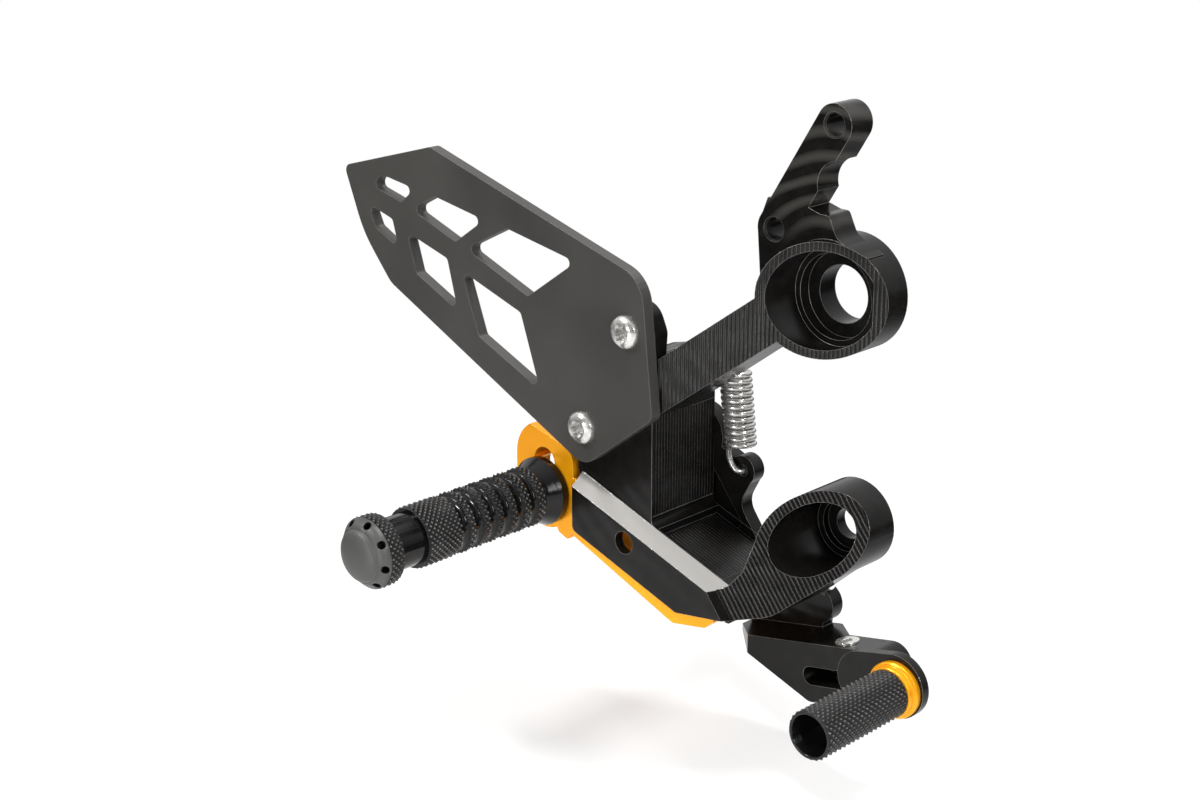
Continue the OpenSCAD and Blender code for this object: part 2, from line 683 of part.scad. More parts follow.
module brake_lever() {
    color(black_alu) difference() {
        union() {
            plate(lever_out, lever_back) lever_plate_outline();
            intersection() {
                plate(toe_arm_out, lever_back) toe_arm_outline();
                plan([[-18.5, -toe_arm_out], [40, -toe_arm_out], [40, -toe_arm_back], [13, -toe_arm_back],
                    [4, -lever_back], [-28.2, -lever_back], [-28.2, -17]]);
            }
        }
        plate(lever_out + 1, lever_out - recess_t) difference() {
            polygon([[-47.9, -63.9], [-33.7, -81.7], [-42, -92], [-60, -72]]);
            translate([pivot_x, pivot_z]) circle(r = hub_r);
        }
        rod(pivot_x, pivot_z, pivot_d + 2 * bush_wall, lever_out + 1, lever_back - 1);
        rod(ear.x, ear.y, ear_hole_d, lever_out + 1, lever_back - 1);
        rod(rod_end.x, rod_end.y, rod_hole_d, lever_out + 1, lever_back - 1);
        slot_cut(slot_w, toe_arm_out + 1, toe_arm_back - 1);
        translate([stop_x, stop_y, nut_base]) cylinder(d = 11, h = 10);
        translate([stop_x, stop_y, lug.y - 12]) cylinder(d = stop_d + 2 * thread_gap, h = 24);
        set_screw_place() translate([0, 0, -8]) cylinder(d = 5 + 2 * thread_gap, h = 12);
        set_screw_place() translate([0, 0, -1.2]) cylinder(d = 7.6, h = 6);
    }
}

// Place of the screw that enters the slot from the top edge of the toe arm
module set_screw_place() {
    translate([16.4, -(toe_arm_out + toe_arm_back) / 2, -104]) rotate([0, -toe_arm_rise, 0]) children();
}

module slot_set_screw() {
    color(steel) set_screw_place() difference() {
        union() {
            translate([0, 0, -1.2]) cylinder(d = 7.4, h = 1.6);
            translate([0, 0, -7]) cylinder(d = 5, h = 6);
        }
        translate([0, 0, -1]) cylinder(d = 3.4, h = 3, $fn = 6);
    }
}

module lever_bushing() {
    color(brass) difference() {
        rod(pivot_x, pivot_z, pivot_d + 2 * bush_wall, lever_out, lever_back);
        rod(pivot_x, pivot_z, pivot_d + 2 * fit_gap, lever_out + 1, lever_back - 1);
    }
}

module pivot_bolt() {
    face = lever_back - 0.3;
    color(steel) difference() {
        turned(pivot_x, pivot_z, [[0, face - 4.5], [5.6, face - 4.5], [6.5, face - 3.6], [6.5, face - 1],
            [pivot_d / 2, face - 1], [pivot_d / 2, body_back], [clamp_d / 2, body_back],
            [clamp_d / 2, body_back + 12], [0, body_back + 12]]);
        translate([pivot_x, -face + 2.5, pivot_z]) rotate([-90, 0, 0]) cylinder(d = 5.7, h = 4, $fn = 6);
    }
}

module pivot_washer() {
    color(steel) difference() {
        rod(pivot_x, pivot_z, 15, lever_back - 0.2, lever_back - 1.3);
        rod(pivot_x, pivot_z, pivot_d + 2 * fit_gap, lever_back + 1, lever_back - 3);
    }
}

module spring_pin() {
    color(steel) turned(pin_x, pin_z, [[0, 6], [pin_d / 2 + 0.6, 6], [pin_d / 2 + 0.6, 7.5], [pin_d / 2, 8],
        [pin_d / 2, pin_front], [0, pin_front]]);
}

function unit(v) = v / norm(v);
function tangent(p, i) = unit(p[min(i + 1, len(p) - 1)] - p[max(i - 1, 0)]);

// Path of the spring wire: a hook in the ear, the coil, and a loop round the pin
coil_r = (spring_d - wire_d) / 2;
coil_axis = coil_high - coil_low;
coil_side = unit(cross(unit(coil_axis), [0, 1, 0]));
coil_steps = 18;
function coil_point(k) = let(a = 360 * k / coil_steps)
    coil_low + coil_axis * (k / (spring_turns * coil_steps))
    + coil_r * (coil_side * cos(a) + [0, 1, 0] * sin(a));
spring_path = concat(
    [[ear.x + 0.3, -lever_out + 2.6, ear.y], [ear.x, -lever_out + 0.2, ear.y - 0.6],
    [ear.x - 0.8, -lever_out - 1.4, ear.y - 0.4], [ear.x - 2.6, -lever_out - 1.7, ear.y + 1],
    [ear.x - 4.5, -lever_out - 1.6, ear.y + 3.6], [ear.x - 5.6, -lever_out - 0.6, ear.y + 5.7]],
    [for (k = [0:spring_turns * coil_steps]) coil_point(k)],
    [[coil_high.x + 1.6, spring_y - 1, pin_z - 4.6], [coil_high.x + 1.8, spring_y, pin_z - 3.4]],
    [for (a = [-45:15:210]) [pin_x + pin_hook_r * cos(a), spring_y, pin_z + pin_hook_r * sin(a)]]);

module return_spring() {
    p = spring_path;
    sides = 8;
    n = len(p);
    frames = [for (i = 0, v = unit(cross(tangent(p, 0), [1, 0, 0])); i < n;
        i = i + 1, v = i < n ? unit(v - (v * tangent(p, i)) * tangent(p, i)) : v) v];
    points = [for (i = [0:n - 1], s = [0:sides - 1])
        let(a = 360 * s / sides, w = cross(tangent(p, i), frames[i]))
        p[i] + wire_d / 2 * (frames[i] * cos(a) + w * sin(a))];
    skin = [for (i = [0:n - 2], s = [0:sides - 1]) let(t = (s + 1) % sides)
        [i * sides + s, i * sides + t, (i + 1) * sides + t, (i + 1) * sides + s]];
    ends = [[for (s = [sides - 1:-1:0]) s], [for (s = [0:sides - 1]) (n - 1) * sides + s]];
    color(steel) polyhedron(points, concat(skin, ends), convexity = 10);
}

module stop_screw() {
    color(steel) difference() {
        translate([stop_x, stop_y, lug.y - 10]) cylinder(d = stop_d, h = stop_top - lug.y + 10);
        translate([stop_x, stop_y, lug.y - 11]) cylinder(d = 1.8, h = 4, $fn = 6);
    }
}

module stop_nut() {
    color(steel) difference() {
        translate([stop_x, stop_y, nut_base]) cylinder(d = nut_d, h = 2.6, $fn = 6);
        translate([stop_x, stop_y, nut_base - 1]) cylinder(d = stop_d + 2 * thread_gap, h = 6);
    }
}

module carrier_outline() {
    hull() {
        translate([toe_x - 0.4, toe_z + 0.6]) circle(r = carrier_r);
        translate([carrier_screw_x - 2, carrier_screw_z + 2.2]) circle(r = carrier_r - 0.8);
    }
}

module toe_carrier() {
    color(black_alu) difference() {
        union() {
            plate(carrier_out, toe_arm_out) carrier_outline();
            plate(toe_arm_out + 0.01, toe_arm_back + 1.5) translate([carrier_screw_x, carrier_screw_z])
                rotate(toe_arm_rise) {
                    translate([-5, -slot_w / 2 + slide_gap]) square([5, slot_w - 2 * slide_gap]);
                    circle(d = slot_w - 2 * slide_gap);
                }
        }
        rod(toe_x, toe_z, toe_screw_d + 2 * thread_gap, carrier_out + 1, toe_arm_out - 1);
        rod(carrier_screw_x, carrier_screw_z, carrier_screw_d - 1.4 + 2 * thread_gap,
            carrier_out - 0.8, toe_arm_back);
    }
}

module carrier_screw() {
    seat = toe_arm_back - 1;
    shank = carrier_screw_d - 1.4;
    color(steel) difference() {
        turned(carrier_screw_x, carrier_screw_z, [[0, seat - 2.6], [3.8, seat - 2.6], [4.6, seat - 1.2],
            [4.6, seat], [shank / 2, seat], [shank / 2, carrier_out - 1.2], [0, carrier_out - 1.2]]);
        translate([carrier_screw_x, -seat + 1, carrier_screw_z]) rotate([-90, 0, 0])
            cylinder(d = 3.4, h = 3, $fn = 6);
    }
}

module carrier_washer() {
    color(steel) difference() {
        rod(carrier_screw_x, carrier_screw_z, 11, toe_arm_back, toe_arm_back - 1);
        rod(carrier_screw_x, carrier_screw_z, carrier_screw_d - 1.4 + 2 * fit_gap, toe_arm_back + 1,
            toe_arm_back - 2);
    }
}

module toe_collar() {
    r = toe_collar_d / 2;
    color(orange_alu) difference() {
        turned(toe_x, toe_z, [[toe_screw_d / 2 + fit_gap, carrier_out], [r, carrier_out],
            [r, carrier_out + 1.7], [r - 0.5, carrier_out + 2.2], [r - 0.9, carrier_out + 2.3], [r - 0.9, collar_out - 0.3],
            [r - 1.2, collar_out], [toe_screw_d / 2 + fit_gap, collar_out]]);
    }
}

module toe_peg() {
    r = toe_peg_d / 2;
    bore = toe_bore_d / 2;
    color(black_alu) turned(toe_x, toe_z, [[toe_screw_d / 2 + fit_gap, collar_out], [r - 0.7, collar_out],
        [r, collar_out + 0.7], [r, toe_peg_out - 0.9], [r - 0.8, toe_peg_out], [bore + 0.3, toe_peg_out],
        [bore, toe_peg_out - 0.3], [bore, collar_out + 5], [toe_screw_d / 2 + fit_gap, collar_out + 5]]);
}

module toe_peg_screw() {
    seat = collar_out + 5;
    color(steel) difference() {
        turned(toe_x, toe_z, [[0, toe_arm_out + 0.3], [toe_screw_d / 2 - 0.4, toe_arm_out + 0.3],
            [toe_screw_d / 2, toe_arm_out + 0.7], [toe_screw_d / 2, seat], [5, seat], [5, seat + 5.6],
            [4.6, seat + 6], [0, seat + 6]]);
        translate([toe_x, -seat - 7, toe_z]) rotate([-90, 0, 0]) cylinder(d = 5.7, h = 4.5, $fn = 6);
    }
}

main_bracket();
heel_guard();
guard_screws();
adjuster_bar();
adjuster_bolt();
peg_body();
peg_grip();
peg_end_cap();
peg_bolt();
peg_washer();
brake_lever();
lever_bushing();
pivot_bolt();
pivot_washer();
return_spring();
spring_pin();
stop_screw();
stop_nut();
toe_carrier();
carrier_screw();
carrier_washer();
toe_collar();
toe_peg();
toe_peg_screw();
slot_set_screw();
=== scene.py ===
import math

import bmesh
import bpy
from mathutils import Matrix, Vector


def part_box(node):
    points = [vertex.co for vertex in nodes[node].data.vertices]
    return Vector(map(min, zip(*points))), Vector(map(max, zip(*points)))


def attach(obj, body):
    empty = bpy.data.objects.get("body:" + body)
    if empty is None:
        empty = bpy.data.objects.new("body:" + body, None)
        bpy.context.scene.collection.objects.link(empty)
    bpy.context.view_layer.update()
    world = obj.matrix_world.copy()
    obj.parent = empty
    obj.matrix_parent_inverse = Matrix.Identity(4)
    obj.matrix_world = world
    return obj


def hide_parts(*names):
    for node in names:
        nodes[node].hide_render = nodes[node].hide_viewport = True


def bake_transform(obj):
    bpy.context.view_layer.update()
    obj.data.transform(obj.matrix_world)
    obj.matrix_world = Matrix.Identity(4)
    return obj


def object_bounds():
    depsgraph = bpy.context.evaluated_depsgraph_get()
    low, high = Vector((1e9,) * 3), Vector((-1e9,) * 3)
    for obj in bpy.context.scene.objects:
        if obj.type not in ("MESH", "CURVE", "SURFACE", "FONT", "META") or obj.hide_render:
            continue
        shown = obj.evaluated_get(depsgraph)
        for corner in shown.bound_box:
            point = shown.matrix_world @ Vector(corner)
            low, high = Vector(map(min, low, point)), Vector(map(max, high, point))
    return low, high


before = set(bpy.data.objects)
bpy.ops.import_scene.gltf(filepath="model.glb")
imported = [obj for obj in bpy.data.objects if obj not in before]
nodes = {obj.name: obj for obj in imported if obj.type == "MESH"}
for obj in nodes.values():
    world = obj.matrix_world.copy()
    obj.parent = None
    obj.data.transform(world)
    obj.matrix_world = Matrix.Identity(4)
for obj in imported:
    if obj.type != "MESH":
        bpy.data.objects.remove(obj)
cad_box = [list(corner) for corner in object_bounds()]


# Main bracket: one block of aluminium alloy, milled on all sides and black anodised.
# The cutter left fine ribs on the sloping arms, and the chamfer above the lower rail was
# milled again after anodising, so it is a bare silver strip.

def finish(name, colour, roughness, metallic, specular=0.5):
    """A new material with one shader, whose even values sit on its own sockets."""
    mat = bpy.data.materials.new(name)
    mat.use_nodes = True
    shader = mat.node_tree.nodes["Principled BSDF"]
    shader.inputs["Base Color"].default_value = (*colour, 1)
    shader.inputs["Roughness"].default_value = roughness
    shader.inputs["Metallic"].default_value = metallic
    shader.inputs["Specular IOR Level"].default_value = specular
    return mat, mat.node_tree.nodes, mat.node_tree.links, shader


def make(tree_nodes, kind, **values):
    """A node of that kind, with its settings and socket values."""
    node = tree_nodes.new(kind)
    for key, value in values.items():
        if hasattr(node, key):
            setattr(node, key, value)
        else:
            node.inputs[key.replace("_", " ")].default_value = value
    return node


def sums(tree_nodes, links, how, first, second, clamp=False):
    """A Math node fed with sockets or plain numbers."""
    node = make(tree_nodes, "ShaderNodeMath", operation=how, use_clamp=clamp)
    for socket, value in zip(node.inputs, (first, second)):
        if isinstance(value, (int, float)):
            socket.default_value = value
        else:
            links.new(value, socket)
    return node.outputs[0]


def ramp(tree_nodes, links, source, low, high, out_low=0.0, out_high=1.0):
    """A source spread from its own range to another."""
    node = make(tree_nodes, "ShaderNodeMapRange", clamp=True)
    links.new(source, node.inputs["Value"])
    for key, value in (("From Min", low), ("From Max", high), ("To Min", out_low), ("To Max", out_high)):
        node.inputs[key].default_value = value
    return node.outputs["Result"]


def grain(tree_nodes, links, scale, detail=3.0, stretch=(1, 1, 1)):
    """Noise in the metal's own coordinates, in marks of about 1/scale metres."""
    place = make(tree_nodes, "ShaderNodeTexCoord")
    spread = make(tree_nodes, "ShaderNodeMapping")
    spread.inputs["Scale"].default_value = stretch
    noise = make(tree_nodes, "ShaderNodeTexNoise")
    noise.inputs["Scale"].default_value = scale
    noise.inputs["Detail"].default_value = detail
    links.new(place.outputs["Object"], spread.inputs["Vector"])
    links.new(spread.outputs["Vector"], noise.inputs["Vector"])
    return noise.outputs["Fac"]


def edge_wear_and_highlight(tree_nodes, links, radius, low, high):
    """The softened normal of the edges, and how far each point is on an edge; the finishes use that share
    for edge wear and for painted edge highlights.
    """
    bevel = make(tree_nodes, "ShaderNodeBevel", samples=6)
    bevel.inputs["Radius"].default_value = radius
    surface = make(tree_nodes, "ShaderNodeNewGeometry")
    turn = make(tree_nodes, "ShaderNodeVectorMath", operation="DOT_PRODUCT")
    links.new(bevel.outputs["Normal"], turn.inputs[0])
    links.new(surface.outputs["Normal"], turn.inputs[1])
    edge = ramp(tree_nodes, links, turn.outputs["Value"], 1 - low, 1 - high)
    return bevel.outputs["Normal"], edge


def mixed_colour(tree_nodes, links, share, dark, light):
    """A colour between two, given as triples or sockets."""
    node = make(tree_nodes, "ShaderNodeMix", data_type="RGBA")
    links.new(share, node.inputs["Factor"])
    for socket, value in ((node.inputs["A"], dark), (node.inputs["B"], light)):
        colour_socket = [s for s in node.inputs if s.identifier == socket.name + "_Color"][0]
        if isinstance(value, tuple):
            colour_socket.default_value = (*value, 1)
        else:
            links.new(value, colour_socket)
    return [s for s in node.outputs if s.identifier == "Result_Color"][0]


def bumped(tree_nodes, links, shader, height, depth, normal=None):
    """Small relief of the given depth in metres, on top of the softened edges."""
    bump = make(tree_nodes, "ShaderNodeBump")
    bump.inputs["Strength"].default_value = 1.0
    bump.inputs["Distance"].default_value = depth
    links.new(height, bump.inputs["Height"])
    if normal is not None:
        links.new(normal, bump.inputs["Normal"])
    links.new(bump.outputs["Normal"], shader.inputs["Normal"])


def paint(node, mat):
    """Gives a solid of the frame its finish."""
    solid = nodes[node]
    solid.data.materials.clear()
    solid.data.materials.append(mat)


# The facing of the bare strip's chamfer, and the heights over which the painted sheen bands fade in.
strip_facing = (0.2592, -0.5842, 0.7690)
wavy_from = 0.014
wavy_to = 0.024


def black_milled(name, strip=False):
    """Black anodised alloy with cutter marks; edges and ribs' cusps lightened by wear and a painted
    highlight, painted sheen bands along the cutter's sweeps above a set height, and, on the bracket, the
    bare strip.
    """
    mat, tree, links, shader = finish(name, (0.004, 0.004, 0.004), 0.2, 0.0, 0.2)
    normal, edge = edge_wear_and_highlight(tree, links, 0.00026, 0.01, 0.12)
    blotch = grain(tree, links, 220, 4)
    marks = grain(tree, links, 1400, 2, (1, 1, 9))
    place = make(tree, "ShaderNodeTexCoord")
    sweeps = make(tree, "ShaderNodeTexWave", wave_type="RINGS", rings_direction="Y")
    for key, value in (("Scale", 50), ("Distortion", 6.0), ("Detail", 1.5), ("Detail Scale", 0.5)):
        sweeps.inputs[key].default_value = value
    links.new(place.outputs["Object"], sweeps.inputs["Vector"])
    spot = make(tree, "ShaderNodeSeparateXYZ")
    links.new(place.outputs["Object"], spot.inputs[0])
    # Painted sheen: lighter bands along the cutter's sweeps, only above a set height.
    high_up = ramp(tree, links, spot.outputs["Z"], wavy_from, wavy_to)
    painted_sheen_band = sums(tree, links, "MULTIPLY", high_up, ramp(tree, links, sweeps.outputs["Fac"], 0.35, 1.0))
    base = mixed_colour(tree, links, ramp(tree, links, blotch, 0.25, 0.75), (0.0035, 0.0032, 0.003),
                        (0.0085, 0.0079, 0.0073))
    # Bare-metal share on the edges: partly wear, partly a painted highlight on edges and ribs' cusps; on
    # the bracket the bare strip is added.
    metal = sums(tree, links, "MULTIPLY", edge, ramp(tree, links, blotch, 0.3, 0.6, 0.22, 0.52))
    if strip:
        surface = make(tree, "ShaderNodeNewGeometry")
        facing = make(tree, "ShaderNodeVectorMath", operation="DOT_PRODUCT")
        links.new(surface.outputs["Normal"], facing.inputs[0])
        facing.inputs[1].default_value = strip_facing
        bare = ramp(tree, links, facing.outputs["Value"], 0.996, 0.999)
        metal = sums(tree, links, "MAXIMUM", metal, bare)
    sheened_base = mixed_colour(tree, links, painted_sheen_band, base, (0.036, 0.034, 0.031))
    colour = mixed_colour(tree, links, metal, sheened_base, (0.5, 0.487, 0.465))
    links.new(colour, shader.inputs["Base Color"])
    links.new(sums(tree, links, "MULTIPLY", metal, 0.8), shader.inputs["Metallic"])
    links.new(ramp(tree, links, marks, 0.3, 0.7, 0.16, 0.27), shader.inputs["Roughness"])
    relief = sums(tree, links, "ADD", sums(tree, links, "MULTIPLY", marks, 0.1), sweeps.outputs["Fac"])
    bumped(tree, links, shader, relief, 0.00007, normal)
    return mat


bracket_black = black_milled("bracket_black", strip=True)
paint("main_bracket", bracket_black)


# Heel guard: a flat plate of aluminium, cut by water jet with six slots, tumbled and
# anodised satin black. Two button-head screws hold it to the bracket.

def satin_black(name, dark=(0.031, 0.0292, 0.0268), light=(0.046, 0.0433, 0.04)):
    """Tumbled and anodised: even and soft, with a very fine grain."""
    mat, tree, links, shader = finish(name, (0.03, 0.029, 0.027), 0.4, 0.0, 0.45)
    normal, edge = edge_wear_and_highlight(tree, links, 0.0005, 0.03, 0.3)
    speck = grain(tree, links, 3200, 2)
    cloud = grain(tree, links, 28, 3)
    base = mixed_colour(tree, links, ramp(tree, links, cloud, 0.3, 0.7), dark, light)
    # Edges lightened towards grey: partly wear, partly a painted edge highlight.
    colour = mixed_colour(tree, links, sums(tree, links, "MULTIPLY", edge, 0.25), base, (0.4, 0.4, 0.4))
    links.new(colour, shader.inputs["Base Color"])
    links.new(ramp(tree, links, speck, 0.35, 0.65, 0.4, 0.5), shader.inputs["Roughness"])
    bumped(tree, links, shader, speck, 0.000012, normal)
    return mat


def plated_steel(name, colour=(0.8, 0.79, 0.765), roughness=0.22):
    """Zinc-plated steel with faint handling marks."""
    mat, tree, links, shader = finish(name, colour, roughness, 0.85)
    normal = edge_wear_and_highlight(tree, links, 0.0002, 0.03, 0.3)[0]
    cloud = grain(tree, links, 420, 4)
    shade = tuple(c * 0.78 for c in colour)
    links.new(mixed_colour(tree, links, ramp(tree, links, cloud, 0.3, 0.7), shade, colour),
              shader.inputs["Base Color"])
    shine = ramp(tree, links, cloud, 0.3, 0.7, roughness - 0.06, roughness + 0.1)
    links.new(shine, shader.inputs["Roughness"])
    bumped(tree, links, shader, cloud, 0.00001, normal)
    return mat


guard_satin = satin_black("guard_satin")
zinc_steel = plated_steel("zinc_steel")
paint("heel_guard", guard_satin)
paint("guard_screws", zinc_steel)


# Adjuster: an orange anodised bar that slides in the rail and carries the peg in one of
# three holes of its rounded head. A clamp bolt behind the access hole holds it.

def orange_anodised(name):
    """Clear anodising dyed orange over milled metal: bright and even, with a faint cloud and edges
    lightened to yellow as a painted highlight.
    """
    mat, tree, links, shader = finish(name, (1.0, 0.4, 0.005), 0.24, 0.5)
    normal, edge = edge_wear_and_highlight(tree, links, 0.0003, 0.03, 0.3)
    cloud = grain(tree, links, 45, 2)
    base = mixed_colour(tree, links, ramp(tree, links, cloud, 0.3, 0.7), (1.0, 0.37, 0.003),
                        (1.0, 0.43, 0.006))
    # Painted highlight: the edges are lightened to yellow.
    links.new(mixed_colour(tree, links, sums(tree, links, "MULTIPLY", edge, 0.5), base, (1.0, 0.6, 0.12)),
              shader.inputs["Base Color"])
    links.new(ramp(tree, links, cloud, 0.3, 0.7, 0.2, 0.28), shader.inputs["Roughness"])
    links.new(normal, shader.inputs["Normal"])
    return mat


orange_bar = orange_anodised("orange_bar")
paint("adjuster_bar", orange_bar)
paint("adjuster_bolt", zinc_steel)


# Foot peg body: turned from bar and anodised gloss black. A long bolt with a washer holds
# it to the adjuster from the inboard side.

def gloss_turned(name):
    """Turned and anodised gloss black, with the faint rings of the lathe's tool."""
    mat, tree, links, shader = finish(name, (0.003, 0.003, 0.0035), 0.12, 0.0, 0.36)
    normal, edge = edge_wear_and_highlight(tree, links, 0.00025, 0.03, 0.3)
    rings = grain(tree, links, 1600, 2, (0.12, 1, 0.12))
    # Edges lightened towards grey: partly wear, partly a painted edge highlight.
    links.new(mixed_colour(tree, links, sums(tree, links, "MULTIPLY", edge, 0.15), (0.003, 0.003, 0.0035),
                           (0.4, 0.4, 0.4)), shader.inputs["Base Color"])
    links.new(ramp(tree, links, rings, 0.3, 0.7, 0.1, 0.2), shader.inputs["Roughness"])
    bumped(tree, links, shader, rings, 0.000004, normal)
    return mat


def blackened_steel(name):
    """Steel blacked in hot oxide: dark, a little oily, with a soft shine."""
    mat, tree, links, shader = finish(name, (0.03, 0.03, 0.032), 0.34, 0.7)
    normal, edge = edge_wear_and_highlight(tree, links, 0.0002, 0.03, 0.3)
    cloud = grain(tree, links, 500, 4)
    links.new(mixed_colour(tree, links, sums(tree, links, "MULTIPLY", edge, 0.6), (0.022, 0.022, 0.024),
                           (0.25, 0.25, 0.25)), shader.inputs["Base Color"])
    links.new(ramp(tree, links, cloud, 0.3, 0.7, 0.28, 0.44), shader.inputs["Roughness"])
    bumped(tree, links, shader, cloud, 0.00001, normal)
    return mat


peg_gloss = gloss_turned("peg_gloss")
black_steel = blackened_steel("black_steel")
paint("peg_body", peg_gloss)
paint("peg_bolt", black_steel)
paint("peg_washer", zinc_steel)


# Knurled grip and end cap: turned sleeves with a diamond knurl rolled in, then black
# anodised. The grip has six turned grooves, and the cap has small holes round its chamfer.

knurl_pitch = 0.0021
knurl_depth = 0.0008
knurl_steps = 4


def knurled_black(name, x, z, radius):
    """Anodised knurling round that axis: the diamonds' points lightened by rubbed wear and a painted
    highlight, the roots left dark.
    """
    mat, tree, links, shader = finish(name, (0.004, 0.004, 0.0045), 0.2, 0.0, 0.4)
    place = make(tree, "ShaderNodeTexCoord")
    flat = make(tree, "ShaderNodeVectorMath", operation="MULTIPLY")
    links.new(place.outputs["Object"], flat.inputs[0])
    flat.inputs[1].default_value = (1, 0, 1)
    away = make(tree, "ShaderNodeVectorMath", operation="DISTANCE")
    links.new(flat.outputs["Vector"], away.inputs[0])
    away.inputs[1].default_value = (x, 0, z)
    blotch = grain(tree, links, 420, 3)
    # The diamonds' points are lightened: partly rubbed wear, partly a painted highlight.
    tip = ramp(tree, links, away.outputs["Value"], radius - 0.5 * knurl_depth, radius - 0.04 * knurl_depth)
    rubbed_and_lit_tips = sums(tree, links, "MULTIPLY", tip, ramp(tree, links, blotch, 0.3, 0.65, 0.45, 1.0))
    links.new(mixed_colour(tree, links, rubbed_and_lit_tips, (0.0035, 0.0035, 0.0038), (0.3, 0.29, 0.27)),
              shader.inputs["Base Color"])
    links.new(sums(tree, links, "MULTIPLY", rubbed_and_lit_tips, 0.6), shader.inputs["Metallic"])
    links.new(ramp(tree, links, tip, 0.0, 1.0, 0.5, 0.22), shader.inputs["Roughness"])
    return mat


def diamond(turn, along):
    """Height of the knurl from 0 in its grooves to 1 on its points."""
    first = (turn + along) % 1.0
    second = (turn - along) % 1.0
    return min(1 - abs(2 * first - 1), 1 - abs(2 * second - 1))


def turned_sleeve(name, x, z, profile, knurls, radius, mats, body, closed=True):
    """A turned piece along Y. Its profile is a list of (radius, distance out). The spans in knurls
    carry a diamond knurl in the first finish, and the rest is smooth in the second."""
    hair = 1e-6
    starts = round(2 * math.pi * radius / knurl_pitch)
    around = knurl_steps * starts
    rows = []
    steps = list(zip(profile, profile[1:] + profile[:1])) if closed else list(zip(profile, profile[1:]))
    rough = False
    for (r0, y0), (r1, y1) in steps:
        after_rough = rough
        in_span = any(a - hair <= min(y0, y1) and max(y0, y1) <= b + hair for a, b in knurls)
        rough = abs(r0 - r1) < hair and in_span
        count = max(2, round(abs(y1 - y0) / (knurl_pitch / knurl_steps))) if rough else 1
        for i in range(count):
            share = i / count
            knurled = rough or (after_rough and i == 0)
            rows.append((r0 + (r1 - r0) * share, y0 + (y1 - y0) * share, knurled))
    if not closed:
        rows.append((*profile[-1], False))
    mesh = bmesh.new()
    rings = []
    for r, y, rough in rows:
        if r < hair:
            rings.append([mesh.verts.new((x, -y, z))])
            continue
        ring = []
        for s in range(around):
            a = 2 * math.pi * s / around
            low = knurl_depth * (1 - diamond(s / knurl_steps, y / knurl_pitch)) if rough else 0.0
            ring.append(mesh.verts.new((x + (r - low) * math.cos(a), -y, z + (r - low) * math.sin(a))))
        rings.append(ring)
    rough_rows = [row[2] for row in rows]
    count = len(rings) if closed else len(rings) - 1
    for i in range(count):
        one = rings[i]
        two = rings[(i + 1) % len(rings)]
        smooth = not (rough_rows[i] or rough_rows[(i + 1) % len(rings)])
        for s in range(around):
            t = (s + 1) % around
            if len(one) == 1:
                face = mesh.faces.new((one[0], two[s], two[t]))
            elif len(two) == 1:
                face = mesh.faces.new((one[s], two[0], one[t]))
            else:
                face = mesh.faces.new((one[s], two[s], two[t], one[t]))
            face.smooth = smooth and abs(rows[i][1] - rows[(i + 1) % len(rings)][1]) > hair
            face.material_index = int(smooth)
    bmesh.ops.recalc_face_normals(mesh, faces=mesh.faces[:])
    data = bpy.data.meshes.new(name)
    mesh.to_mesh(data)
    mesh.free()
    piece = bpy.data.objects.new(name, data)
    bpy.context.scene.collection.objects.link(piece)
    for mat in mats:
        data.materials.append(mat)
    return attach(piece, body)


cap_satin = satin_black("cap_satin", (0.045, 0.046, 0.043), (0.07, 0.072, 0.068))
peg_x = (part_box("peg_grip")[0].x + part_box("peg_grip")[1].x) / 2
peg_z = (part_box("peg_grip")[0].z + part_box("peg_grip")[1].z) / 2
grip_in = -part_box("peg_grip")[1].y
grip_out = -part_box("peg_grip")[0].y
grip_r = (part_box("peg_grip")[1].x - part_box("peg_grip")[0].x) / 2
grip_knurl = knurled_black("grip_knurl", peg_x, peg_z, grip_r)
grip_wall = 0.0033
grip_chamfer = 0.0006
groove_count = 6
groove_pitch = 0.0059
groove_w = 0.003
groove_flank = 0.0004
groove_corner = 0.0003
first_groove = 0.005
groove_root = grip_r - 0.0016
grip_profile = [(grip_r - grip_wall, grip_in), (grip_r - grip_chamfer, grip_in),
                (grip_r, grip_in + grip_chamfer)]
grip_spans = []
last = grip_in + grip_chamfer
for i in range(groove_count):
    centre = grip_in + first_groove + i * groove_pitch
    start = centre - groove_w / 2
    end = centre + groove_w / 2
    grip_profile += [(grip_r, start - groove_flank), (groove_root + groove_corner, start),
                     (groove_root, start + groove_flank), (groove_root, end - groove_flank),
                     (groove_root + groove_corner, end), (grip_r, end + groove_flank)]
    grip_spans.append((last, start - groove_flank))
    last = end + groove_flank
grip_spans.append((last, grip_out - grip_chamfer))
grip_profile += [(grip_r, grip_out - grip_chamfer), (grip_r - grip_chamfer, grip_out),
                 (grip_r - grip_wall, grip_out)]
knurled_grip = turned_sleeve("knurled_grip", peg_x, peg_z, grip_profile, grip_spans, grip_r,
                             (grip_knurl, peg_gloss), "adjuster")
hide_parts("peg_grip")

